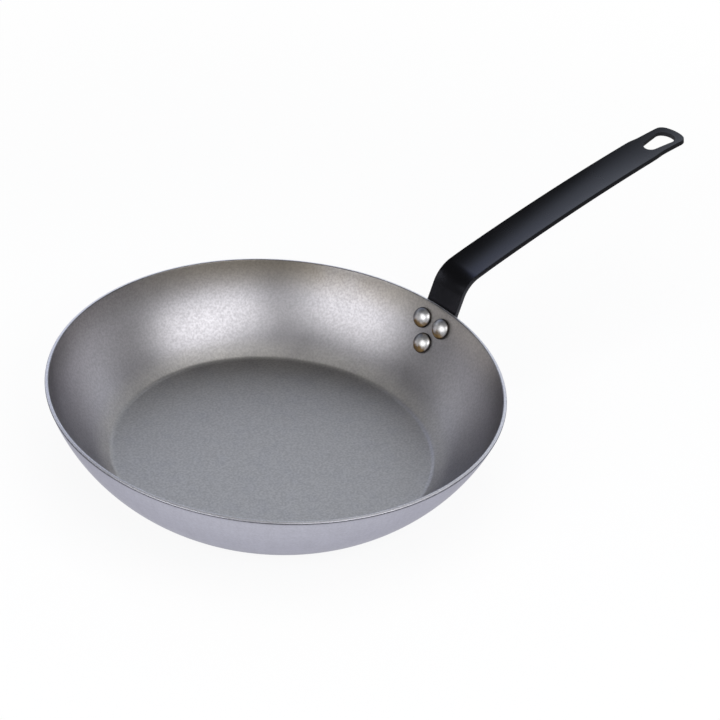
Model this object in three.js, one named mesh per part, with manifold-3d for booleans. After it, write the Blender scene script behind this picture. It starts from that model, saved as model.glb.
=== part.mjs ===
// A carbon steel frying pan: a pressed bowl, a bent strip handle and the three rivets that join them.
// Millimetres, +Z up. The origin is the middle of the base's underside, and the handle runs along +X.

import * as THREE from 'three';
import { mergeVertices } from 'three/addons/utils/BufferGeometryUtils.js';
import Module from 'manifold-3d';

const wasm = await Module();
wasm.setup();

const { degToRad, lerp, smoothstep } = THREE.MathUtils;

// Bowl
const rimRadius = 140; // outside edge of the rim
const panHeight = 54; // from the floor to the outside edge of the rim
const baseRadius = 100.3; // where the wall's curve would meet the floor if the corner were sharp
const wallBulge = 4.9; // how far the wall's arc stands out from the straight line between base and rim
const sheetThickness = 2.5;
const baseCornerRadius = 8; // outside of the bend between base and wall
const rimEdgeRadius = 0.8; // rounding of the two corners of the cut rim

// Strip handle, with lengths measured along its upper face from the rim
const stripThickness = 2.9;
const rimWidth = 25.4; // width of the strip where it passes the rim
const neckWidth = 24.4; // width at the end of the grip
const tipWidth = 22.5;
const riserLength = 12; // straight run above the rim
const bendRadius = 18.6;
const gripSlope = degToRad(13.7); // rise of the grip just past the bend
const gripArchRadius = 1750; // the grip's slow curve downwards
const tipArchRadius = 355; // the quicker curve downwards of neck and tip
const gripLength = 194;
const neckLength = 16;
const tipLength = 23.8;
const tipEndRadius = 14;
const tipCornerRadius = 8.4;
const gripDish = 1.4; // depth of the hollow across the end of the grip
const dishRunIn = 45; // length over which the foot's wrap round the bowl becomes the grip's hollow

// Hanging hole, an egg with its narrow end towards the bowl
const holeLength = 25.8;
const holeWideRadius = 6.9;
const holeNarrowRadius = 5;
const holeEndMargin = 6; // metal left between the hole and the end of the tip

// Rivets, with drops measured down the wall from the rim
const rivetDrop = 12.1; // to the upper row
const rivetRowPitch = 14.7; // from the upper row to the lower rivet
const rivetSpread = 17.2; // between the two upper rivets
const shankRadius = 2.4;
const innerHeadRadius = 6.7;
const innerHeadHeight = 4.1;
const outerHeadRadius = 5.5;
const outerHeadHeight = 2.6;
const footMargin = 8.2; // from a rivet's axis to the edge of the handle's foot

// Clearances
const seatGap = 0.3; // between faces that are clamped together
const shankGap = 0.3; // between a shank and its hole
const cutOvershoot = 5; // how far a hole's cutter stands out past the faces it goes through

// Facets
const bowlSegments = 72;
const wallSteps = 9;
const cornerSteps = 4;
const rimSteps = 3;
const rivetSegments = 20;
const headSteps = 5;
const stationStep = 4; // longest step along the strip
const curveSteps = 5; // fewest steps along each piece of the strip's edge
const acrossSteps = 6;

const steel = new THREE.MeshStandardMaterial({ color: 0xa8a6a8, roughness: 0.36, metalness: 1 });
const blackCoat = new THREE.MeshStandardMaterial({ color: 0x1b1c20, roughness: 0.42, metalness: 0.1 });
const polishedSteel = new THREE.MeshStandardMaterial({ color: 0xcfcdcb, roughness: 0.14, metalness: 1 });

// The wall is one arc in the plane of radius and height, worked out from its chord and its bulge.
const wallChord = new THREE.Vector2(rimRadius - baseRadius, panHeight);
const wallRadius = (wallChord.lengthSq() / 4 + wallBulge ** 2) / (2 * wallBulge);
const wallCentre = new THREE.Vector2(-wallChord.y, wallChord.x)
  .setLength(wallRadius - wallBulge)
  .addScaledVector(wallChord, 0.5)
  .add(new THREE.Vector2(baseRadius, 0));
const rimSlope = Math.atan2(rimRadius - wallCentre.x, wallCentre.y - panHeight);

// The point of the wall's outer face that has a given slope, or a point that far inside it.
function wallPoint(slope, inset = 0) {
  const reach = wallRadius - inset;
  return new THREE.Vector2(wallCentre.x + reach * Math.sin(slope), wallCentre.y - reach * Math.cos(slope));
}

// Points along an arc from one angle to another, both ends included.
function arc(centre, radius, from, to, steps) {
  return new THREE.EllipseCurve(centre.x, centre.y, radius, radius, from, to, from > to).getPoints(steps);
}

// A closed geometry as a solid for cutting: shared corners merged, and collapsed triangles left out.
function toSolid(geometry) {
  geometry.deleteAttribute('normal');
  geometry.deleteAttribute('uv');
  const merged = mergeVertices(geometry);
  const corners = merged.index.array;
  const triVerts = [];
  for (let i = 0; i < corners.length; i += 3) {
    const [a, b, c] = corners.subarray(i, i + 3);
    if (a !== b && b !== c && c !== a) triVerts.push(a, b, c);
  }
  return new wasm.Manifold(new wasm.Mesh({
    numProp: 3,
    vertProperties: merged.attributes.position.array,
    triVerts: new Uint32Array(triVerts),
  }));
}

function toGeometry(solid) {
  const { vertProperties, triVerts } = solid.getMesh();
  const geometry = new THREE.BufferGeometry();
  geometry.setAttribute('position', new THREE.BufferAttribute(vertProperties, 3));
  geometry.setIndex(new THREE.BufferAttribute(triVerts, 1));
  return geometry;
}

function cut(geometry, cutters) {
  return toGeometry(cutters.reduce((solid, cutter) => solid.subtract(toSolid(cutter)), toSolid(geometry)));
}

function piece(name, geometry, material) {
  geometry.computeVertexNormals();
  const mesh = new THREE.Mesh(geometry, material);
  mesh.name = name;
  return mesh;
}

// Stands an object on the wall's outer face at a rivet's place, with its Z axis pointing into the bowl.
function seatOnWall(object, { drop, side }) {
  const slope = rimSlope - drop / wallRadius;
  const { x: radius, y: height } = wallPoint(slope);
  const turn = side / radius;
  object.position.set(radius * Math.cos(turn), radius * Math.sin(turn), height);
  object.rotation.set(0, -slope, turn, 'ZYX');
}

const rivetPlaces = [
  { name: 'rivet_upper_left', drop: rivetDrop, side: rivetSpread / 2 },
  { name: 'rivet_upper_right', drop: rivetDrop, side: -rivetSpread / 2 },
  { name: 'rivet_lower', drop: rivetDrop + rivetRowPitch, side: 0 },
];

// One cutter for each rivet hole, long enough to pass through the wall and the handle's foot.
function rivetHoles() {
  const length = 2 * (sheetThickness + stripThickness + cutOvershoot);
  return rivetPlaces.map((place) => {
    const radius = shankRadius + shankGap;
    const cutter = new THREE.CylinderGeometry(radius, radius, length, rivetSegments).rotateX(Math.PI / 2);
    const seat = new THREE.Object3D();
    seatOnWall(seat, place);
    seat.updateMatrix();
    return cutter.applyMatrix4(seat.matrix);
  });
}

// The bowl: its outer face from the middle of the base up to the rim, and its inner face back down again.
function bowl() {
  const down = -Math.PI / 2;
  const cornerDrop = wallCentre.y - baseCornerRadius;
  const cornerReach = Math.sqrt((wallRadius - baseCornerRadius) ** 2 - cornerDrop ** 2);
  const corner = new THREE.Vector2(wallCentre.x + cornerReach, baseCornerRadius);
  const cornerEnd = Math.atan2(cornerReach, cornerDrop) + down;
  const innerFace = wallRadius - sheetThickness;
  const outerTurn = rimSlope - Math.asin(rimEdgeRadius / (wallRadius - rimEdgeRadius));
  const innerTurn = rimSlope - Math.asin(rimEdgeRadius / (innerFace + rimEdgeRadius));
  const outerEdge = wallPoint(outerTurn, rimEdgeRadius);
  const innerEdge = wallPoint(innerTurn, sheetThickness - rimEdgeRadius);
  const profile = [
    new THREE.Vector2(0, 0),
    ...arc(corner, baseCornerRadius, down, cornerEnd, cornerSteps),
    ...arc(wallCentre, wallRadius, cornerEnd, outerTurn + down, wallSteps).slice(1),
    ...arc(outerEdge, rimEdgeRadius, outerTurn + down, rimSlope, rimSteps).slice(1),
    ...arc(innerEdge, rimEdgeRadius, rimSlope, innerTurn - down, rimSteps),
    ...arc(wallCentre, innerFace, innerTurn + down, cornerEnd, wallSteps).slice(1),
    ...arc(corner, baseCornerRadius - sheetThickness, cornerEnd, down, cornerSteps).slice(1),
    new THREE.Vector2(0, sheetThickness),
  ];
  const shell = new THREE.LatheGeometry(profile, bowlSegments).rotateX(Math.PI / 2);
  return cut(shell, rivetHoles());
}

// A domed head's outline from its edge to its crown, which lies below the seat for a height under zero.
function dome(edgeRadius, height, seat) {
  const side = Math.sign(height);
  const radius = (edgeRadius ** 2 + height ** 2) / (2 * Math.abs(height));
  const centre = new THREE.Vector2(0, seat + height - side * radius);
  return arc(centre, radius, Math.atan2(seat - centre.y, edgeRadius), (side * Math.PI) / 2, headSteps);
}

// A rivet standing on the wall's outer face: the formed head outside the foot, the shank and the inner dome.
function rivet() {
  const wallHollow = innerHeadRadius ** 2 / (2 * (wallRadius - sheetThickness));
  const innerSeat = sheetThickness + wallHollow + seatGap;
  const outerSeat = -(seatGap + stripThickness + seatGap);
  const profile = [
    ...dome(outerHeadRadius, -outerHeadHeight, outerSeat).reverse(),
    new THREE.Vector2(shankRadius, outerSeat),
    new THREE.Vector2(shankRadius, innerSeat),
    ...dome(innerHeadRadius, innerHeadHeight, innerSeat),
  ];
  return new THREE.LatheGeometry(profile, rivetSegments).rotateX(Math.PI / 2);
}

// Follows a strip from a place and a slope as it turns down on a radius, or up on a radius under zero.
function turnDown({ x, z, slope }, radius, length) {
  const next = slope - length / radius;
  return {
    x: x + radius * (Math.sin(slope) - Math.sin(next)),
    z: z + radius * (Math.cos(next) - Math.cos(slope)),
    slope: next,
  };
}

function goStraight({ x, z, slope }, length) {
  return { x: x + length * Math.cos(slope), z: z + length * Math.sin(slope), slope };
}

const rimSeat = wallPoint(rimSlope, -seatGap);
const stripStart = { x: rimSeat.x, z: rimSeat.y, slope: rimSlope };
const riserTop = goStraight(stripStart, riserLength);
const bendLength = bendRadius * (rimSlope - gripSlope);
const bendEnd = turnDown(riserTop, bendRadius, bendLength);
const gripStart = riserLength + bendLength;
const gripEnd = turnDown(bendEnd, gripArchRadius, gripLength - gripStart);

// Place and slope of the middle of the strip's upper face: foot below the rim, riser, bend, grip and tip.
function stripStation(along) {
  if (along < 0) return turnDown(stripStart, -(wallRadius + seatGap), along);
  if (along < riserLength) return goStraight(stripStart, along);
  if (along < gripStart) return turnDown(riserTop, bendRadius, along - riserLength);
  if (along < gripLength) return turnDown(bendEnd, gripArchRadius, along - gripStart);
  return turnDown(gripEnd, tipArchRadius, along - gripLength);
}

// Curvature of an arc across a width that is hollowed to a depth.
function hollow(width, depth) {
  return (2 * depth) / ((width / 2) ** 2 + depth ** 2);
}

// How sharply the strip curves across its width: round the bowl at the foot, then the grip's hollow.
function acrossCurvature(along) {
  const { x, slope } = stripStation(Math.min(along, 0));
  const wrap = Math.sin(slope) / x;
  return lerp(wrap, hollow(neckWidth, gripDish), smoothstep(along, 0, dishRunIn));
}

// The point of the strip at a length along it, a distance across it and a depth below its upper face.
function stripPoint(along, across, depth) {
  const { x, z, slope } = stripStation(along);
  const radius = 1 / acrossCurvature(along);
  const turn = across / radius;
  const lift = radius - (radius + depth) * Math.cos(turn);
  const side = (radius + depth) * Math.sin(turn);
  return new THREE.Vector3(x - lift * Math.sin(slope), side, z + lift * Math.cos(slope));
}

const tipEnd = gripLength + neckLength + tipLength;
const tipCentre = tipEnd - tipEndRadius;

// The strip's left edge laid flat, from the end of the foot to the end of the tip: length and half width.
function stripEdge() {
  const flank = Math.atan2(rivetRowPitch, -rivetSpread / 2);
  const shoulder = rivetSpread / 2 + footMargin;
  const neckMiddle = gripLength + neckLength / 2;
  const neckEnd = gripLength + neckLength;
  const cornerSide = tipWidth / 2 - tipCornerRadius;
  const cornerReach = Math.sqrt((tipEndRadius - tipCornerRadius) ** 2 - cornerSide ** 2);
  const cornerTurn = Math.atan2(cornerSide, cornerReach);
  const edge = new THREE.Path();
  edge.absarc(-rivetDrop - rivetRowPitch, 0, footMargin, Math.PI, flank, true);
  edge.absarc(-rivetDrop, rivetSpread / 2, footMargin, flank, Math.PI / 2, true);
  edge.bezierCurveTo(-rivetDrop / 2, shoulder, -rivetDrop / 2, rimWidth / 2, 0, rimWidth / 2);
  edge.lineTo(gripLength, neckWidth / 2);
  edge.bezierCurveTo(neckMiddle, neckWidth / 2, neckMiddle, tipWidth / 2, neckEnd, tipWidth / 2);
  edge.absarc(tipCentre + cornerReach, cornerSide, tipCornerRadius, Math.PI / 2, cornerTurn, true);
  edge.absarc(tipCentre, 0, tipEndRadius, cornerTurn, 0, true);
  const points = edge.curves.flatMap((curve) => (
    curve.getPoints(Math.max(curveSteps, Math.ceil(curve.getLength() / stationStep)))
  ));
  const shortestStep = 0.01;
  return points.filter((point, i) => i === 0 || point.x - points[i - 1].x > shortestStep);
}

// The strip as a closed slab: rows of points across its upper and lower faces, joined along faces and edges.
function strip() {
  const edge = stripEdge();
  const positions = [];
  for (const { x: along, y: halfWidth } of edge) {
    for (const depth of [0, stripThickness]) {
      for (let j = 0; j <= acrossSteps; j += 1) {
        positions.push(...stripPoint(along, lerp(-halfWidth, halfWidth, j / acrossSteps), depth));
      }
    }
  }
  const faceRow = acrossSteps + 1;
  const upper = (i, j) => 2 * faceRow * i + j;
  const lower = (i, j) => upper(i, j) + faceRow;
  const triangles = [];
  const quad = (a, b, c, d) => triangles.push(a, b, c, a, c, d);
  for (let i = 0; i < edge.length - 1; i += 1) {
    for (let j = 0; j < acrossSteps; j += 1) {
      quad(upper(i, j), upper(i + 1, j), upper(i + 1, j + 1), upper(i, j + 1));
      quad(lower(i, j), lower(i, j + 1), lower(i + 1, j + 1), lower(i + 1, j));
    }
    quad(upper(i, 0), lower(i, 0), lower(i + 1, 0), upper(i + 1, 0));
    quad(upper(i, acrossSteps), upper(i + 1, acrossSteps), lower(i + 1, acrossSteps), lower(i, acrossSteps));
  }
  const geometry = new THREE.BufferGeometry();
  geometry.setAttribute('position', new THREE.Float32BufferAttribute(positions, 3));
  geometry.setIndex(triangles);
  return geometry;
}

// The hanging hole's cutter, an egg of two arcs and the lines that touch both, set square to the strip.
function hangingHole() {
  const holeEnd = tipEnd - holeEndMargin;
  const wide = holeEnd - holeWideRadius;
  const narrow = holeEnd - holeLength + holeNarrowRadius;
  const touch = Math.acos((holeNarrowRadius - holeWideRadius) / (wide - narrow));
  const egg = new THREE.Shape();
  egg.absarc(narrow, 0, holeNarrowRadius, touch, -touch, false);
  egg.absarc(wide, 0, holeWideRadius, -touch, touch, false);
  const middle = holeEnd - holeLength / 2;
  const depth = 2 * (stripThickness + gripDish + cutOvershoot);
  const { x, z, slope } = stripStation(middle);
  return new THREE.ExtrudeGeometry(egg, { depth, bevelEnabled: false, curveSegments: curveSteps })
    .translate(-middle, 0, -depth / 2)
    .rotateY(-slope)
    .translate(x, 0, z);
}

const pan = new THREE.Group();
pan.add(piece('pan_body', bowl(), steel));
pan.add(piece('handle', cut(strip(), [...rivetHoles(), hangingHole()]), blackCoat));
for (const place of rivetPlaces) {
  const mesh = piece(place.name, rivet(), polishedSteel);
  seatOnWall(mesh, place);
  pan.add(mesh);
}

export default pan;
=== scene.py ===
import math

import bmesh
import bpy
import numpy as np
from mathutils import Matrix


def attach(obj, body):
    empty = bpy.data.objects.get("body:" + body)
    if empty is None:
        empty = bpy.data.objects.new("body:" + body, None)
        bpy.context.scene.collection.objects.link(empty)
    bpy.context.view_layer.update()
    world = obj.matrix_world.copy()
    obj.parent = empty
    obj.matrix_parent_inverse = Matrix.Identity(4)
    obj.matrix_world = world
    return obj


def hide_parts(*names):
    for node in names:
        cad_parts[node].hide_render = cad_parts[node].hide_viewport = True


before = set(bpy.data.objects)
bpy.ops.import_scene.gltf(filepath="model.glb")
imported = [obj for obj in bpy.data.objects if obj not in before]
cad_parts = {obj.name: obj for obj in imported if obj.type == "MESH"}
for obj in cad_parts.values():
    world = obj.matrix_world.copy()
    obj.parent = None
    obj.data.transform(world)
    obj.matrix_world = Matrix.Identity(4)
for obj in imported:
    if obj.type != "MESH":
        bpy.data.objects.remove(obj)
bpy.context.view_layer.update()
scene = bpy.context.scene
print("frame loaded:", ", ".join(sorted(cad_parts)))


# One socket of a node tree. Sums and products written on it add Math nodes to the same tree.
class Wire:
    def __init__(self, tree, socket=None):
        self.tree = tree
        self.socket = socket

    # sets or links the inputs of a node, given by name or number
    def plug(self, made, inputs):
        for name, value in inputs.items():
            if isinstance(value, Wire):
                self.tree.links.new(value.socket, made.inputs[name])
            else:
                made.inputs[name].default_value = value

    # any other node: its type, its settings, its inputs, and the output that is wanted
    def node(self, kind, settings=None, inputs=None, output=0):
        made = self.tree.nodes.new(kind)
        for name, value in (settings or {}).items():
            setattr(made, name, value)
        self.plug(made, inputs or {})
        return Wire(self.tree, made.outputs[output])

    # another output of the node that this wire comes from
    def other(self, output):
        return Wire(self.tree, self.socket.node.outputs[output])

    def maths(self, operation, *values):
        return self.node("ShaderNodeMath", {"operation": operation}, dict(enumerate(values)))

    def __add__(self, other):
        return self.maths("ADD", self, other)

    def __sub__(self, other):
        return self.maths("SUBTRACT", self, other)

    def __rsub__(self, other):
        return self.maths("SUBTRACT", other, self)

    def __mul__(self, other):
        return self.maths("MULTIPLY", self, other)

    def __truediv__(self, other):
        return self.maths("DIVIDE", self, other)

    def __pow__(self, other):
        return self.maths("POWER", self, other)

    __radd__ = __add__
    __rmul__ = __mul__

    # 0 below one value, 1 above another, and a smooth step between them
    def step(self, low, high):
        settings = {"interpolation_type": "SMOOTHSTEP"}
        return self.node("ShaderNodeMapRange", settings, {"Value": self, "From Min": low, "From Max": high})

    # this wire's value from 0 to 1 picks between two colours, which are inputs 6 and 7 of a Mix node
    def blend(self, first, second):
        return self.node("ShaderNodeMix", {"data_type": "RGBA"}, {0: self, 6: first, 7: second}, output=2)

    # this wire's colour darkened or lightened by a grey value round 1
    def shade(self, grey):
        settings = {"data_type": "RGBA", "blend_type": "MULTIPLY"}
        return self.node("ShaderNodeMix", settings, {0: 1.0, 6: self, 7: grey}, output=2)

    # grey noise on this wire's vector, with features of a size in metres
    def noise(self, size, detail=2.0):
        return self.node("ShaderNodeTexNoise", None, {"Vector": self, "Scale": 1 / size, "Detail": detail})

    # place on the piece, in metres
    def place(self):
        return self.node("ShaderNodeTexCoord", output="Object")

    # a value that makeShell has put at the points
    def mark(self, name):
        return self.node("ShaderNodeAttribute", {"attribute_name": name}, output="Fac")

    def vector(self, x, y, z):
        return self.node("ShaderNodeCombineXYZ", None, {"X": x, "Y": y, "Z": z})

    def bump(self, height, strength):
        return self.node("ShaderNodeBump", None, {"Height": self, "Distance": height, "Strength": strength})


# A new material, a wire to start its nodes with, and its shader.
def startMaterial(name):
    material = bpy.data.materials.new(name)
    material.use_nodes = True
    tree = material.node_tree
    return material, Wire(tree), tree.nodes["Principled BSDF"]


# Points on an arc: the centre plus the radius times cos and sin of evenly spaced angles.
def arcPoints(centre, radius, start, end, steps):
    angle = np.linspace(start, end, steps + 1)
    return np.stack([centre[0] + radius * np.cos(angle), centre[1] + radius * np.sin(angle)], axis=1)


# Points on a cubic Bezier curve: its four corners weighted by the Bernstein polynomials.
def bezierPoints(corners, steps):
    t = np.linspace(0, 1, steps + 1)[:, None]
    first, second, third, fourth = np.array(corners)
    return (1 - t)**3 * first + 3 * t * (1 - t)**2 * second + 3 * t**2 * (1 - t) * third + t**3 * fourth


# A profile of radius and height turned round the Z axis: x = r cos a, y = r sin a, z = h.
def revolve(profile, around):
    angle = np.linspace(0, 2 * math.pi, around, endpoint=False)
    radius, height = profile[:, :1], profile[:, 1:]
    return np.stack([radius * np.cos(angle), radius * np.sin(angle), height + 0 * angle], axis=-1)


# Corner numbers of a grid's cells. A closed grid joins its last column to its first.
def gridCells(rows, columns, closed):
    number = np.arange(rows * columns).reshape(rows, columns)
    if closed:
        number = np.hstack([number, number[:, :1]])
    corners = [number[:-1, :-1], number[1:, :-1], number[1:, 1:], number[:-1, 1:]]
    return np.stack(corners, axis=-1).reshape(-1, 4)


weldDistance = 1e-6  # points of neighbouring grids that are this close become one


# One shell from grids of points, welded and with its faces outward. Marks are values at the points.
def makeShell(name, grids, closed=False, marks=None):
    starts = np.cumsum([0] + [g.shape[0] * g.shape[1] for g in grids])
    points = np.concatenate([g.reshape(-1, 3) for g in grids])
    cells = np.concatenate([gridCells(*g.shape[:2], closed) + s for g, s in zip(grids, starts)])
    mesh = bpy.data.meshes.new(name)
    mesh.from_pydata(points.tolist(), [], cells.tolist())
    for mark, values in (marks or {}).items():
        mesh.attributes.new(mark, "FLOAT", "POINT").data.foreach_set("value", values)
    shell = bmesh.new()
    shell.from_mesh(mesh)
    bmesh.ops.remove_doubles(shell, verts=shell.verts, dist=weldDistance)
    bmesh.ops.recalc_face_normals(shell, faces=shell.faces)
    openEdges = sum(not edge.is_manifold for edge in shell.edges)
    shell.to_mesh(mesh)
    shell.free()
    mesh.shade_smooth()
    piece = bpy.data.objects.new(name, mesh)
    scene.collection.objects.link(piece)
    print(f"{name}: {len(mesh.polygons)} faces, {openEdges} open edges")
    return piece


# Gives a finished piece its material and its place in the frame.
def dress(piece, node, material):
    piece.data.materials.append(material)
    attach(piece, "root")
    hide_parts(node)


# Camera: where it stands, how far it looks down, and its turn and roll
cameraView = {
    "place": (-0.8361, -0.8803, 0.8947),
    "lookDown": math.radians(34.05),
    "turn": math.radians(45.826),  # of the handle from the picture's left to right line
    "roll": math.radians(5.27),
    "lens": 121.8,
    "sensor": 36.0,
}


# The camera's axes: back from its turn and look down, right and up from its roll.
def makeCamera(view):
    down, turn, roll = view["lookDown"], view["turn"], view["roll"]
    back = np.array([-math.cos(down) * math.sin(turn), -math.cos(down) * math.cos(turn), math.sin(down)])
    level = np.array([math.cos(turn), -math.sin(turn), 0])
    right = math.cos(roll) * level + math.sin(roll) * np.cross(back, level)
    lens = bpy.data.cameras.new("photoCamera")
    lens.lens = view["lens"]
    lens.sensor_width = view["sensor"]
    camera = bpy.data.objects.new("photoCamera", lens)
    scene.collection.objects.link(camera)
    columns = np.column_stack([right, np.cross(back, right), back, view["place"]])
    camera.matrix_world = Matrix(np.vstack([columns, [0, 0, 0, 1]]).tolist())
    scene.camera = camera


makeCamera(cameraView)
print("camera placed")


# Pan: the same sizes as the solid, in metres
panShape = {
    "rimRadius": 0.140,
    "height": 0.054,
    "baseRadius": 0.1003,
    "wallBulge": 0.0049,
    "sheet": 0.0025,
    "baseCorner": 0.008,
    "rimEdge": 0.0008,
    "around": 320,
    "floorRings": 12,
    "wallRings": 36,
    "cornerRings": 10,
    "edgeRings": 10,
    "cutStart": 0.5,  # share of a rim corner's turn where the rough cut edge and its painted highlight begin
    "cutRise": 3.0,
    "outerCutPower": 3,  # the cut edge and its painted highlight fade sooner over the outer corner
    "lineAt": 0.3,  # share of the turn where the painted dark line of shade is
    "lineWidth": 0.25,
    "innerLine": 0.55,  # strength of the painted shade line at the inner corner
}


# The wall's arc in radius and height: its chord and bulge give its radius, centre and slope at the rim.
def wallArc(pan):
    chord = np.array([pan["rimRadius"] - pan["baseRadius"], pan["height"]])
    length = np.hypot(*chord)
    bulge = pan["wallBulge"]
    radius = (length**2 / 4 + bulge**2) / (2 * bulge)
    square = np.array([-chord[1], chord[0]]) / length
    centre = np.array([pan["baseRadius"], 0]) + chord / 2 + square * (radius - bulge)
    slope = math.atan2(pan["rimRadius"] - centre[0], centre[1] - pan["height"])
    return radius, centre, slope


wallRadius, wallCentre, rimSlope = wallArc(panShape)


# A point of the wall's outer face where it has a given slope, or one that lies an inset inside it.
def wallPoint(slope, inset=0.0):
    reach = wallRadius - inset
    return wallCentre + reach * np.array([math.sin(slope), -math.cos(slope)])


# The pan's profile: base, corner, wall and rim edge outside, then rim edge, wall, corner and floor inside.
# Each section also says whether it is inside the bowl, how far it is the rough cut edge with its painted
# highlight, and how far it is the painted dark line of shade at the edge's outer corner, which is fainter at
# the inner one.
def panProfile(pan):
    down = -math.pi / 2
    sheet, edge, corner = pan["sheet"], pan["rimEdge"], pan["baseCorner"]
    drop = wallCentre[1] - corner
    reach = math.sqrt((wallRadius - corner)**2 - drop**2)
    cornerAt = np.array([wallCentre[0] + reach, corner])
    cornerEnd = math.atan2(reach, drop) + down
    inner = wallRadius - sheet
    outerTurn = rimSlope - math.asin(edge / (wallRadius - edge))
    innerTurn = rimSlope - math.asin(edge / (inner + edge))
    outerAt, innerAt = wallPoint(outerTurn, edge), wallPoint(innerTurn, sheet - edge)
    floor = np.linspace(0, cornerAt[0], pan["floorRings"] + 1)[:-1, None]
    rings, bends, turns = pan["wallRings"], pan["cornerRings"], pan["edgeRings"]
    turned = np.linspace(0, 1, turns + 1)
    cut = np.clip(pan["cutRise"] * (turned - pan["cutStart"]), 0, 1)
    line = np.exp(-((turned - pan["lineAt"]) / pan["lineWidth"])**2)
    outerCut = cut**pan["outerCutPower"]
    innerLine = pan["innerLine"] * line[::-1]
    sections = [
        (np.hstack([floor, 0 * floor]), 0, 0, 0),
        (arcPoints(cornerAt, corner, down, cornerEnd, bends), 0, 0, 0),
        (arcPoints(wallCentre, wallRadius, cornerEnd, outerTurn + down, rings)[1:-1], 0, 0, 0),
        (arcPoints(outerAt, edge, outerTurn + down, rimSlope, turns), 0, outerCut, line),
        (arcPoints(innerAt, edge, rimSlope, innerTurn - down, turns), 1, cut[::-1], innerLine),
        (arcPoints(wallCentre, inner, innerTurn + down, cornerEnd, rings)[1:], 1, 0, 0),
        (arcPoints(cornerAt, corner - sheet, cornerEnd, down, bends)[1:], 1, 0, 0),
        (np.hstack([floor, 0 * floor + sheet])[::-1], 1, 0, 0),
    ]
    marks = {}
    for number, name in enumerate(("inside", "cutEdgeAndHighlight", "edgeShadeLine"), 1):
        marks[name] = np.concatenate([0 * s[0][:, 0] + s[number] for s in sections])
    return np.concatenate([s[0] for s in sections]), marks


steelLook = {
    "outside": (0.475, 0.475, 0.545, 1),
    "inside": (0.472, 0.462, 0.487, 1),
    "worn": (0.568, 0.552, 0.538, 1),  # the floor, where most of the use is
    "wornShare": 0.5,  # and more of it where the blotches are light
    "floorBand": (0.0025, 0.014),  # heights between which the floor's wear ends
    "rimShade": (0.320, 0.307, 0.309, 1),  # painted shade under the rim
    "rimBand": 0.032,  # height where the painted shade under the rim begins
    "tintSize": 0.09,  # the band comes and goes in patches of this size
    "tintRange": (0.3, 0.55),
    "warm": (0.385, 0.348, 0.302, 1),  # painted shade in a warm tone, under the rim at the back
    "warmAngle": math.radians(40),  # where that is, counted from the handle
    "warmReach": (0.07, 0.135),  # distances towards that side between which it comes in
    "clean": (0.515, 0.490, 0.465, 1),  # painted light under the rim by the rivets
    "cleanAngle": math.radians(-8),
    "cleanReach": (0.116, 0.136),
    # the rough cut edge, painted lighter as a highlight
    "cutEdgeAndHighlight": (0.920, 0.912, 0.950, 1),
    # painted dark line of shade at the rim's edge
    "edgeShadeLine": (0.075, 0.075, 0.090, 1),
    "grazing": (0.60, 0.60, 0.64, 1),  # the bare sheet stays dull where it is seen along its face
    "roughness": 0.375,
    "edgeRoughness": 0.52,
    "floorRoughness": 0.48,
    "grainSize": 0.0014,
    "grainContrast": (0.3, 0.7),
    "outsideGrain": 0.5,  # strength of the grain outside, against 1 inside
    "ringSize": 0.0013,
    "ringWaver": (0.04, 0.0012),  # size and depth of the rings' wavering
    "insideBrushing": 0.4,  # strength of the rings inside, against 1 outside
    "streakWidth": 0.004,
    "streakRun": 0.12,  # share of the way up the wall that the streaks change with
    "blotchSize": 0.012,
    "shadeBy": {"grain": 0.19, "brushing": 0.14, "streaks": 0.14, "blotch": 0.08},
    "roughBy": {"grain": -0.045, "brushing": 0.06, "blotch": 0.08},
    "ringRelief": 0.25,
    "streakRelief": 0.3,
    "grainHeight": 0.00002,
    "bumpStrength": 0.7,
}
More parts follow.
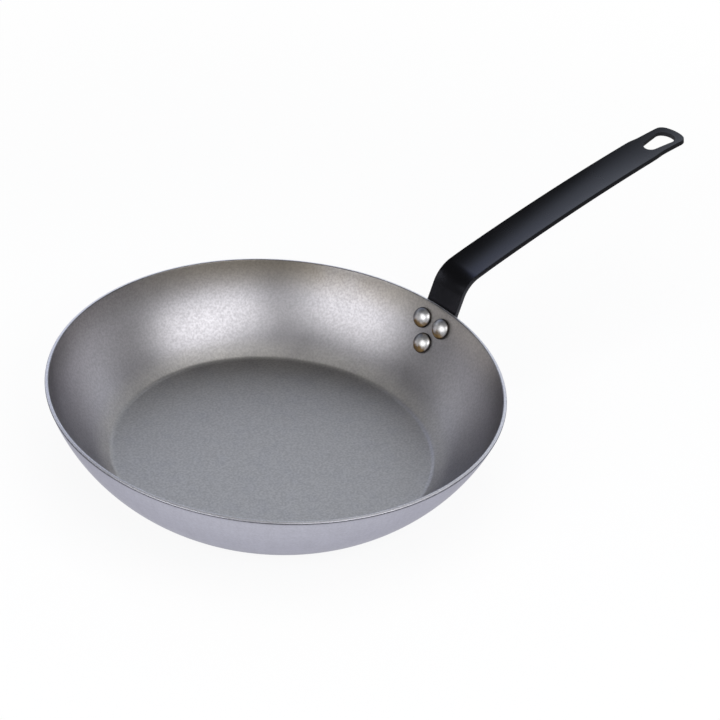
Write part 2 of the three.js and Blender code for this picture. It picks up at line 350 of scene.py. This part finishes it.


# Bare steel: a mottled satin grain, rings of brushing round the axis, faint streaks up the wall outside, soft
# blotches, a band of painted shade under the rim, warm at the back and with painted light by the rivets, and
# a rough cut edge painted lighter as a highlight, with a painted dark line of shade.
def steelMaterial(look, pan):
    material, wire, shader = startMaterial("bareSteel")
    place = wire.place()
    x = wire.node("ShaderNodeSeparateXYZ", None, {"Vector": place})
    y, z = x.other("Y"), x.other("Z")
    radius = (x * x + y * y)**0.5
    inside, cutEdgeAndHighlight, edgeShadeLine = wire.mark("inside"), wire.mark("cutEdgeAndHighlight"), wire.mark("edgeShadeLine")

    # distance from the axis towards one side of the pan
    def toward(angle):
        return x * math.cos(angle) + y * math.sin(angle)

    waverSize, waverDepth = look["ringWaver"]
    rings = wire.vector(radius, z, place.noise(waverSize) * waverDepth).noise(look["ringSize"])
    brushing = (rings - 0.5) * (1 - inside * (1 - look["insideBrushing"]))
    aroundX = x / radius * pan["rimRadius"]
    aroundY = y / radius * pan["rimRadius"]
    upWall = (z + radius) * look["streakRun"]
    streaks = wire.vector(aroundX, aroundY, upWall).noise(look["streakWidth"], detail=3.0)
    streaks = (streaks - 0.5) * (1 - inside)
    grain = place.noise(look["grainSize"], detail=4.0).step(*look["grainContrast"]) - 0.5
    grain = grain * (look["outsideGrain"] + inside * (1 - look["outsideGrain"]))
    blotch = place.noise(look["blotchSize"], detail=4.0)
    mottle = blotch - 0.5
    tint = place.noise(look["tintSize"], detail=3.0)
    underRim = z.step(look["rimBand"], pan["height"]) * inside
    onFloor = (1 - z.step(*look["floorBand"])) * inside
    colour = inside.blend(look["outside"], look["inside"])
    colour = (onFloor * (look["wornShare"] + blotch)).blend(colour, look["worn"])
    # the band under the rim is painted shade, warm at the back, with painted light by the rivets
    warmSide = toward(look["warmAngle"]).step(*look["warmReach"])
    cleanSide = toward(look["cleanAngle"]).step(*look["cleanReach"])
    rimTint = cleanSide.blend(warmSide.blend(look["rimShade"], look["warm"]), look["clean"])
    colour = (underRim * tint.step(*look["tintRange"])).blend(colour, rimTint)
    # the rough cut edge, painted lighter as a highlight
    colour = cutEdgeAndHighlight.blend(colour, look["cutEdgeAndHighlight"])
    # the painted dark line of shade at the rim's edge
    colour = edgeShadeLine.blend(colour, look["edgeShadeLine"])
    by = look["shadeBy"]
    grey = 1 + grain * by["grain"] + brushing * by["brushing"]
    grey = grey + streaks * by["streaks"] + mottle * by["blotch"]
    colour = colour.shade(grey)
    by = look["roughBy"]
    rough = look["roughness"] + grain * by["grain"] + mottle * by["blotch"] + brushing * by["brushing"]
    rough = rough + cutEdgeAndHighlight * (look["edgeRoughness"] - look["roughness"])
    rough = rough + onFloor * (look["floorRoughness"] - look["roughness"])
    relief = grain + rings * look["ringRelief"] + streaks * look["streakRelief"]
    normal = relief.bump(look["grainHeight"], look["bumpStrength"])
    wire.plug(shader, {"Base Color": colour, "Metallic": 1.0, "Roughness": rough, "Normal": normal})
    wire.plug(shader, {"Specular Tint": look["grazing"]})
    return material


panPoints, profileMarks = panProfile(panShape)
panMarks = {name: np.repeat(values, panShape["around"]) for name, values in profileMarks.items()}
panBody = makeShell("panBody", [revolve(panPoints, panShape["around"])], closed=True, marks=panMarks)
dress(panBody, "pan_body", steelMaterial(steelLook, panShape))


# Rivets: a dome inside the bowl, a shank through wall and foot, and a formed head outside
rivetShape = {
    "drop": 0.0121,
    "rowPitch": 0.0147,
    "spread": 0.0172,
    "shank": 0.0024,
    "innerHead": 0.0067,
    "innerRise": 0.0041,
    "outerHead": 0.0055,
    "outerRise": 0.0026,
    "lip": 0.0004,
    "domeSlope": 1.25,  # above 1 the dome's sides lean in
    "footMargin": 0.0082,
    "seatGap": 0.0003,
    "around": 64,
    "domeRings": 18,
    "lipRings": 4,
}


# Half the outline of a domed head: a rounded lip at its edge, then a dome
# with r = R cos a and z = h (sin a)^p.
def domeProfile(rivet, edge, rise, seat):
    side = math.copysign(1, rise)
    lip = rivet["lip"]
    height = abs(rise) - lip
    dome = arcPoints((0, 0), 1, 0, math.pi / 2, rivet["domeRings"])
    dome = np.stack([edge * dome[:, 0], height * dome[:, 1]**rivet["domeSlope"]], axis=1)
    under = arcPoints((edge - lip, 0), lip, -math.pi / 2, 0, rivet["lipRings"])[:-1]
    both = np.concatenate([under, dome])
    return np.stack([both[:, 0], seat + side * (both[:, 1] + lip)], axis=1)


# The rivet's profile along its own axis, from the outside crown over the shank to the inside crown.
def rivetProfile(rivet, pan, thickness):
    # the hollow wall rises by the sag under the head's edge
    sag = rivet["innerHead"]**2 / (2 * (wallRadius - pan["sheet"]))
    innerSeat = pan["sheet"] + sag + rivet["seatGap"]
    outerSeat = -(rivet["seatGap"] + thickness + rivet["seatGap"])
    outer = domeProfile(rivet, rivet["outerHead"], -rivet["outerRise"], outerSeat)[::-1]
    inner = domeProfile(rivet, rivet["innerHead"], rivet["innerRise"], innerSeat)
    shank = np.array([[rivet["shank"], outerSeat], [rivet["shank"], innerSeat]])
    return np.concatenate([outer, shank, inner])


# A rivet's points moved to the wall: turned so that its axis is the wall's inward normal there.
def seatOnWall(points, drop, side):
    slope = rimSlope - drop / wallRadius
    radius, height = wallPoint(slope)
    turn = side / radius
    tilt = np.array([
        [math.cos(slope), 0, -math.sin(slope)],
        [0, 1, 0],
        [math.sin(slope), 0, math.cos(slope)],
    ])
    spin = np.array([
        [math.cos(turn), -math.sin(turn), 0],
        [math.sin(turn), math.cos(turn), 0],
        [0, 0, 1],
    ])
    return points @ (spin @ tilt).T + [radius * math.cos(turn), radius * math.sin(turn), height]


rivetLook = {
    "steel": (0.82, 0.815, 0.82, 1),
    "stain": (0.34, 0.225, 0.10, 1),
    "stainRange": (0.1, 0.6),
    "stainPatch": 1.2,  # how far patches break up the stain's edge
    # painted grey shade on the head's upper side
    "upperShade": (0.30, 0.305, 0.33, 1),
    "upperShadeRange": (0.1, 0.7),
    "upperShadePatch": 0.8,
    "upperShadeToward": (0.5, 0.85),  # across the head, up the wall and to the left
    "footShade": (0.060, 0.055, 0.050, 1),  # painted shade where the head meets the wall
    "footShadeRange": (0.86, 0.99),
    "grainSize": 0.0006,
    "patchSize": 0.004,
    "grainShade": 0.3,
    "roughness": 0.38,
    "grainRough": 0.16,
    "patchRough": 0.12,
    "bumpHeight": 0.00005,
    "bumpStrength": 0.5,
}


# Pressed rivet steel: a satin grain from the die, a brown stain on the side that faces the floor of the pan,
# painted grey shade on the other, and a painted dark ring of shade round the foot of the head.
def rivetMaterial(look):
    material, wire, shader = startMaterial("rivetSteel")
    place = wire.place()
    grain = place.noise(look["grainSize"]) - 0.5
    patch = place.noise(look["patchSize"], detail=4.0) - 0.5
    stain = (wire.mark("lowSide") + patch * look["stainPatch"]).step(*look["stainRange"])
    # painted grey shade on the upper side of the head, broken up by patches
    upperShade = (wire.mark("upperSide") + patch * look["upperShadePatch"]).step(*look["upperShadeRange"])
    colour = stain.blend(upperShade.blend(look["steel"], look["upperShade"]), look["stain"])
    # a painted dark ring of shade round the foot of the head
    colour = wire.mark("footward").step(*look["footShadeRange"]).blend(colour, look["footShade"])
    colour = colour.shade(1 + grain * look["grainShade"])
    rough = look["roughness"] + grain * look["grainRough"] + patch * look["patchRough"]
    normal = (grain + patch).bump(look["bumpHeight"], look["bumpStrength"])
    wire.plug(shader, {"Base Color": colour, "Metallic": 1.0, "Roughness": rough, "Normal": normal})
    return material


# Handle: lengths run along the strip's upper face from the rim, and below zero down the foot
handleShape = {
    "thickness": 0.0029,
    "rimWidth": 0.0254,
    "neckWidth": 0.0244,
    "tipWidth": 0.0225,
    "riser": 0.012,
    "bendRadius": 0.0186,
    "gripSlope": math.radians(13.7),
    "gripArch": 1.750,
    "tipArch": 0.355,
    "grip": 0.194,
    "neck": 0.016,
    "tip": 0.0238,
    "tipEnd": 0.014,
    "tipCorner": 0.0084,
    "dish": 0.0014,
    "dishRunIn": 0.045,
    "holeLength": 0.0258,
    "holeWide": 0.0069,
    "holeNarrow": 0.005,
    "holeMargin": 0.006,
    "edge": 0.0002,  # rounding of the strip's edges
    "edgeStep": 0.0001,  # spacing of the points that the edges are worked out with
    "edgeRings": 6,
    "outlinePoints": 200,  # on each arc or curve of an outline, before it gets even steps
    "rowStep": 0.001,
    "rowClear": 0.00003,  # rows nearer than this to an end of the strip or the hole are left out
    "rowDigits": 5,  # rows that agree to these decimals are one
    "across": 14,
}
gripEnd = handleShape["grip"] + handleShape["neck"]
tipEnd = gripEnd + handleShape["tip"]
tipCentre = tipEnd - handleShape["tipEnd"]


# Moves along an arc that turns down on a radius: x gains R(sin a - sin b) and z gains R(cos b - cos a).
def turnDown(x, z, slope, radius, length):
    after = slope - length / radius
    return x + radius * (np.sin(slope) - np.sin(after)), z + radius * (np.cos(after) - np.cos(slope)), after


# Place and slope of the strip's upper face: foot on the wall's arc, straight riser, bend, then the slow arch
# of the grip and the quicker one of the tip.
def stripLine(along, strip):
    gap = rivetShape["seatGap"]
    bend = strip["bendRadius"] * (rimSlope - strip["gripSlope"])
    gripStart = strip["riser"] + bend
    x, z = wallPoint(rimSlope, -gap)
    x, z, slope = turnDown(x, z, rimSlope, -(wallRadius + gap), np.minimum(along, 0))
    riser = np.clip(along, 0, strip["riser"])
    x, z = x + riser * np.cos(slope), z + riser * np.sin(slope)
    x, z, slope = turnDown(x, z, slope, strip["bendRadius"], np.clip(along - strip["riser"], 0, bend))
    onGrip = np.clip(along, gripStart, strip["grip"]) - gripStart
    x, z, slope = turnDown(x, z, slope, strip["gripArch"], onGrip)
    return turnDown(x, z, slope, strip["tipArch"], np.maximum(along - strip["grip"], 0))


# A smooth step: t squared times 3 - 2t, where t is the share of the way from low to high.
def smoothStep(value, low, high):
    t = np.clip((value - low) / (high - low), 0, 1)
    return t * t * (3 - 2 * t)


# Curvature of an arc across a width that is hollowed to a depth: twice the depth over (w/2)^2 + d^2.
def hollow(width, depth):
    return 2 * depth / ((width / 2)**2 + depth**2)


# How sharply the strip curves across: the bowl's own curvature at the foot, then the grip's hollow.
def acrossCurve(along, strip):
    x, _, slope = stripLine(np.minimum(along, 0), strip)
    wrap = np.sin(slope) / x
    grip = hollow(strip["neckWidth"], strip["dish"])
    return wrap + (grip - wrap) * smoothStep(along, 0, strip["dishRunIn"])


# A point of the strip from its length along, its distance across and its depth under the upper face. Across
# runs round an arc of the local radius R, so it lifts by R - (R + d) cos t and moves aside by (R + d) sin t.
def stripPoints(along, across, depth, strip):
    x, z, slope = stripLine(along, strip)
    radius = 1 / acrossCurve(along, strip)
    turn = across / radius
    lift = radius - (radius + depth) * np.cos(turn)
    side = (radius + depth) * np.sin(turn)
    return np.stack([x - lift * np.sin(slope), side, z + lift * np.cos(slope)], axis=-1)


samePoint = 1e-9  # points of an outline that are this close are one


# A half outline at even steps of its length, with the normals to the left of its direction.
def evenOutline(parts, step):
    points = np.concatenate(parts)
    points = points[np.append(True, np.hypot(*np.diff(points, axis=0).T) > samePoint)]
    length = np.append(0, np.cumsum(np.hypot(*np.diff(points, axis=0).T)))
    even = np.linspace(0, length[-1], int(length[-1] / step) + 1)
    points = np.stack([np.interp(even, length, points[:, 0]), np.interp(even, length, points[:, 1])], axis=1)
    direction = np.gradient(points, axis=0)
    direction /= np.hypot(*direction.T)[:, None]
    direction[[0, -1]] = [[0, 1], [0, -1]]  # both ends cross the middle line squarely
    return points, np.stack([-direction[:, 1], direction[:, 0]], axis=1)


# The strip's left edge laid flat: round the lower rivet, up the flank, round the upper rivet, along the grip,
# in at the neck and round the tip.
def edgeOutline(strip, rivet):
    drop, pitch, half = rivet["drop"], rivet["rowPitch"], rivet["spread"] / 2
    margin = rivet["footMargin"]
    flank = math.atan2(pitch, -half)
    rimHalf, neckHalf, tipHalf = strip["rimWidth"] / 2, strip["neckWidth"] / 2, strip["tipWidth"] / 2
    shoulder = half + margin
    middle = strip["grip"] + strip["neck"] / 2
    cornerSide = tipHalf - strip["tipCorner"]
    reach = math.sqrt((strip["tipEnd"] - strip["tipCorner"])**2 - cornerSide**2)
    turn = math.atan2(cornerSide, reach)
    fine = strip["outlinePoints"]
    shoulderCurve = [(-drop, shoulder), (-drop / 2, shoulder), (-drop / 2, rimHalf), (0, rimHalf)]
    neckCurve = [(strip["grip"], neckHalf), (middle, neckHalf), (middle, tipHalf), (gripEnd, tipHalf)]
    return evenOutline([
        arcPoints((-drop - pitch, 0), margin, math.pi, flank, fine),
        arcPoints((-drop, half), margin, flank, math.pi / 2, fine),
        bezierPoints(shoulderCurve, fine),
        bezierPoints(neckCurve, fine),
        arcPoints((tipCentre + reach, cornerSide), strip["tipCorner"], math.pi / 2, turn, fine),
        arcPoints((tipCentre, 0), strip["tipEnd"], turn, 0, fine),
    ], strip["edgeStep"])


# The hanging hole's left half laid flat: an egg of a narrow arc, a line that touches both arcs,
# and a wide arc.
def holeOutline(strip):
    wide = tipEnd - strip["holeMargin"] - strip["holeWide"]
    narrow = tipEnd - strip["holeMargin"] - strip["holeLength"] + strip["holeNarrow"]
    touch = math.acos((strip["holeNarrow"] - strip["holeWide"]) / (wide - narrow))
    fine = strip["outlinePoints"]
    points, normals = evenOutline([
        arcPoints((narrow, 0), strip["holeNarrow"], math.pi, touch, fine),
        arcPoints((wide, 0), strip["holeWide"], touch, 0, fine),
    ], strip["edgeStep"] / 2)
    return points, -normals


# An edge's section as inset from the outline and depth: a quarter round, the straight side, a quarter round.
def edgeSection(strip):
    edge, thick = strip["edge"], strip["thickness"]
    upper = arcPoints((edge, edge), edge, 1.5 * math.pi, math.pi, strip["edgeRings"])
    lower = arcPoints((edge, thick - edge), edge, math.pi, math.pi / 2, strip["edgeRings"])
    return np.concatenate([upper, lower])


# The edge section carried along a half outline at given rows, as flat along, across and depth grids.
def edgeBand(points, normals, rows, section):
    count = np.arange(len(points))
    at = np.interp(rows, (points - normals * section[0, 0])[:, 0], count)

    def pick(values):
        return np.interp(at, count, values)[:, None]

    along = pick(points[:, 0]) - pick(normals[:, 0]) * section[:, 0]
    across = pick(points[:, 1]) - pick(normals[:, 1]) * section[:, 0]
    return along, across, section[:, 1] + 0 * along


# The handle's grids: upper and lower faces from the middle line or hole out to the edge, and the edge bands.
# The rows stand where the edge's points are, so they crowd at the ends, where the edge crosses the strip.
def handleGrids(strip, rivet):
    section = edgeSection(strip)
    edge, edgeNormals = edgeOutline(strip, rivet)
    hole, holeNormals = holeOutline(strip)
    edgeIn = (edge - edgeNormals * strip["edge"])[:, 0]
    holeIn = (hole - holeNormals * strip["edge"])[:, 0]
    ends = np.array([edgeIn[0], holeIn[0], holeIn[-1], edgeIn[-1]])
    skip = round(strip["rowStep"] / strip["edgeStep"])
    rows = np.concatenate([edgeIn[::skip], holeIn[::skip]])
    rows = np.unique(np.round(rows, strip["rowDigits"]))
    clear = np.abs(rows[:, None] - ends).min(axis=1) > strip["rowClear"]
    rows = np.sort(np.concatenate([rows[clear], ends]))
    holeRows = rows[(rows >= ends[1]) & (rows <= ends[2])]
    outer = edgeBand(edge, edgeNormals, rows, section)
    inner = edgeBand(hole, holeNormals, holeRows, section)
    innerHalf = np.interp(rows, holeRows, inner[1][:, 0], left=0, right=0)[:, None]
    share = np.linspace(0, 1, strip["across"] + 1)
    across = innerHalf + (outer[1][:, :1] - innerHalf) * share
    along = outer[0][:, :1] + 0 * across
    faces = [(along, across, 0 * across), (along, across, 0 * across + strip["thickness"])]
    return [stripPoints(a, side * b, d, strip) for a, b, d in faces + [outer, inner] for side in (1, -1)]


coatLook = {
    "black": (0.0012, 0.0011, 0.0010, 1),
    "dusty": (0.0042, 0.0040, 0.0036, 1),
    "dustSize": 0.0004,
    "dustRange": (0.55, 0.8),
    "dustShare": 0.5,
    "smearSize": 0.03,
    "smearRange": (0.4, 0.8),
    "smearShare": 0.3,
    "gloss": (0.73, 0.75, 0.92, 1),  # the coating reflects a little blue
    "roughness": 0.25,
    "dustRough": 0.06,
    "smearRough": 0.14,
    "tipWear": 0.21,  # the tip is duller than the grip
    "tipRange": (0.26, 0.34),  # distances from the pan's axis between which that comes in
    "peelSize": 0.0011,
    "peelHeight": 0.00002,
    "bumpStrength": 0.5,
}


# Black coating: a fine orange peel, a little dust in the colour and a slow change of gloss.
def coatMaterial(look):
    material, wire, shader = startMaterial("blackCoating")
    place = wire.place()
    x = wire.node("ShaderNodeSeparateXYZ", None, {"Vector": place})
    dust = place.noise(look["dustSize"], detail=3.0)
    smear = place.noise(look["smearSize"], detail=3.0)
    dusty = dust.step(*look["dustRange"]) * look["dustShare"]
    dusty = dusty + smear.step(*look["smearRange"]) * look["smearShare"]
    colour = dusty.blend(look["black"], look["dusty"])
    rough = look["roughness"] + (smear - 0.5) * look["smearRough"] + (dust - 0.5) * look["dustRough"]
    rough = rough + x.step(*look["tipRange"]) * look["tipWear"]
    normal = place.noise(look["peelSize"]).bump(look["peelHeight"], look["bumpStrength"])
    wire.plug(shader, {"Base Color": colour, "Roughness": rough, "Normal": normal})
    wire.plug(shader, {"Specular Tint": look["gloss"]})
    return material


handleStrip = makeShell("handleStrip", handleGrids(handleShape, rivetShape))
dress(handleStrip, "handle", coatMaterial(coatLook))

rivetSteel = rivetMaterial(rivetLook)
rivetPoints = revolve(rivetProfile(rivetShape, panShape, handleShape["thickness"]), rivetShape["around"])
headPlace = rivetPoints[..., :2] / rivetShape["innerHead"]  # across the head, 1 at its edge
headX, headY = headPlace[..., 0].ravel(), headPlace[..., 1].ravel()
upward, leftward = rivetLook["upperShadeToward"]
rivetMarks = {
    "footward": np.hypot(headX, headY),
    "lowSide": -headX,
    "upperSide": upward * headX + leftward * headY,
}
rivetPlaces = {
    "rivetUpperLeft": ("rivet_upper_left", rivetShape["drop"], rivetShape["spread"] / 2),
    "rivetUpperRight": ("rivet_upper_right", rivetShape["drop"], -rivetShape["spread"] / 2),
    "rivetLower": ("rivet_lower", rivetShape["drop"] + rivetShape["rowPitch"], 0.0),
}
for name, (node, drop, side) in rivetPlaces.items():
    rivet = makeShell(name, [seatOnWall(rivetPoints, drop, side)], closed=True, marks=rivetMarks)
    dress(rivet, node, rivetSteel)


# Studio: a white floor, two soft boxes on the camera's side, a dim window on each side, and a room with cool
# daylight behind the pan that is darker elsewhere
studioSetup = {
    "floorHalf": 15.0,
    "floorSteps": 9,
    "floorDrop": 0.0002,
    "floorColour": (0.93, 0.93, 0.94, 1),
    "floorRoughness": 0.9,
    "floorGlow": 0.90,  # share of plain white that the camera sees on the floor by the pan
    "whiteRadius": (0.3, 0.8),  # it sees plain white further out, from between these distances
    "litRadius": (0.18, 0.50),  # reflections see the floor's painted glow fade between these distances from the pan's axis
    "floorFade": 0.75,
    "shadeRadius": (0.098, 0.108),  # and see a painted shadow on it inside these, under the base's corner
    "underShade": 0.5,
    "ceilingGrey": 0.09,
    "horizonGrey": 0.36,
    "leftShade": 0.25,  # the horizon loses this share from the right to the middle, and again to the left
    "horizonTop": (0.10, 0.50),  # sines of the rises between which the horizon darkens to the ceiling
    "backColour": (0.84, 0.90, 1.0, 1),  # cool daylight behind the pan
    "backSide": (-0.05, 0.85),  # cosines from straight behind between which the daylight comes in
    "skyColour": (0.72, 0.82, 1.25, 1),  # bluer on the left and higher up, where the handle mirrors it
    "skyRise": (0.42, 0.58),  # sines between which it turns bluer upward
    "skySide": (0.10, 0.40),  # and shares of the way to the left
    "backTop": (0.70, 0.86),  # sines between which it ends in the middle, and it ends lower towards the sides
    "cameraWhite": (1, 1, 1, 1),
    "fill": {"azimuth": 0.0, "rise": 89.0, "distance": 2.0, "size": (2.0, 2.0), "watts": 20.0},
    "boxes": {
        "softBoxRight": {"azimuth": 176.0, "rise": 43.0, "distance": 1.5, "size": (1.45, 0.75), "watts": 9.1},
        "windowRight": {"azimuth": 108.0, "rise": 22.0, "distance": 1.5, "size": (0.9, 0.5), "watts": 0.5},
        "windowLeft": {"azimuth": -20.0, "rise": 21.0, "distance": 1.5, "size": (0.9, 0.4), "watts": 0.50},
        "softBoxLeft": {"azimuth": -95.0, "rise": 32.0, "distance": 1.5, "size": (1.35, 0.88), "watts": 8.5},
    },
}


# White floor: plain white to the camera away from the pan, and a share of lit white with its shadow near it.
# In reflections it is a painted glow that fades away from the pan, with a painted shadow under the base's
# corner.
def floorMaterial(setup):
    material, wire, shader = startMaterial("studioWhite")
    place = wire.place()
    away = wire.node("ShaderNodeVectorMath", {"operation": "LENGTH"}, {0: place}, output="Value")
    camera = wire.node("ShaderNodeLightPath", output="Is Camera Ray")
    mirrored = camera.maths("MAXIMUM", camera.other("Is Glossy Ray"), camera.other("Is Transmission Ray"))
    # in reflections: a painted glow that fades away from the pan, and a painted shadow under the base's
    # corner
    faded = away.step(*setup["litRadius"]) * setup["floorFade"]
    shaded = (1 - away.step(*setup["shadeRadius"])) * setup["underShade"]
    seen = 1 - mirrored * (faded + shaded)
    glow = wire.node("ShaderNodeEmission", None, {"Color": seen, "Strength": 1.0})
    share = camera * (setup["floorGlow"] + away.step(*setup["whiteRadius"]) * (1 - setup["floorGlow"]))
    share = share.maths("MAXIMUM", share, mirrored)
    wire.plug(shader, {"Base Color": setup["floorColour"], "Roughness": setup["floorRoughness"]})
    lit = Wire(wire.tree, shader.outputs[0])
    both = wire.node("ShaderNodeMixShader", None, {0: share, 1: lit, 2: glow})
    wire.plug(wire.tree.nodes["Material Output"], {"Surface": both})
    return material


# The floor as a flat grid of points, x and y even and z level.
def makeFloor(setup):
    steps = np.linspace(-setup["floorHalf"], setup["floorHalf"], setup["floorSteps"])
    x, y = np.meshgrid(steps, steps)
    points = np.stack([x, y, 0 * x - setup["floorDrop"]], axis=-1)
    mesh = bpy.data.meshes.new("studioFloor")
    cells = gridCells(*x.shape, False)[:, ::-1]  # turned to face up
    mesh.from_pydata(points.reshape(-1, 3).tolist(), [], cells.tolist())
    mesh.materials.append(floorMaterial(setup))
    floor = bpy.data.objects.new("studioFloor", mesh)
    scene.collection.objects.link(floor)


# The room: cool daylight behind the pan, lower towards the sides and bluer on the left and higher up, grey
# near the horizon elsewhere, dim overhead, and white to the camera.
def makeRoom(setup, view):
    world = bpy.data.worlds.new("studioRoom")
    scene.world = world
    world.use_nodes = True
    wire = Wire(world.node_tree)
    direction = wire.node("ShaderNodeTexCoord", output="Generated")
    behind = (math.sin(view["turn"]), math.cos(view["turn"]), 0)
    toRight = (math.cos(view["turn"]), -math.sin(view["turn"]), 0)
    rise = wire.node("ShaderNodeSeparateXYZ", None, {"Vector": direction}, output="Z")
    settings = {"operation": "DOT_PRODUCT"}
    facing = wire.node("ShaderNodeVectorMath", settings, {0: direction, 1: behind}, output="Value")
    side = wire.node("ShaderNodeVectorMath", settings, {0: direction, 1: toRight}, output="Value")
    facing = facing / (1 - rise * rise)**0.5
    back = facing.step(*setup["backSide"]) * (1 - (rise / facing).step(*setup["backTop"]))
    camera = wire.node("ShaderNodeLightPath", output="Is Camera Ray")
    horizon = setup["horizonGrey"] * (1 - setup["leftShade"] + side * setup["leftShade"])
    level = horizon + rise.step(*setup["horizonTop"]) * (setup["ceilingGrey"] - horizon)
    sky = rise.step(*setup["skyRise"]) * (0 - side).step(*setup["skySide"])
    daylight = sky.blend(setup["backColour"], setup["skyColour"])
    colour = camera.blend(back.blend(level, daylight), setup["cameraWhite"])
    wire.plug(world.node_tree.nodes["Background"], {"Color": colour, "Strength": 1.0})


# A soft box as an area lamp that looks at the pan from an azimuth, clockwise from +Y, and a rise.
def makeBox(name, box):
    azimuth, rise = math.radians(box["azimuth"]), math.radians(box["rise"])
    back = np.array([math.sin(azimuth) * math.cos(rise), math.cos(azimuth) * math.cos(rise), math.sin(rise)])
    right = np.cross([0, 0, 1], back)
    right /= np.linalg.norm(right)
    lamp = bpy.data.lights.new(name, "AREA")
    lamp.shape = "RECTANGLE"
    lamp.size, lamp.size_y = box["size"]
    lamp.energy = box["watts"]
    holder = bpy.data.objects.new(name, lamp)
    columns = np.column_stack([right, np.cross(back, right), back, back * box["distance"]])
    holder.matrix_world = Matrix(np.vstack([columns, [0, 0, 0, 1]]).tolist())
    holder.visible_camera = False
    scene.collection.objects.link(holder)
    return holder


makeFloor(studioSetup)
makeRoom(studioSetup, cameraView)
for name, box in studioSetup["boxes"].items():
    makeBox(name, box)
fill = makeBox("fillLight", studioSetup["fill"])
fill.visible_glossy = False  # lights the floor evenly and stays out of the reflections
scene.view_settings.view_transform = "Standard"
print("studio lit")
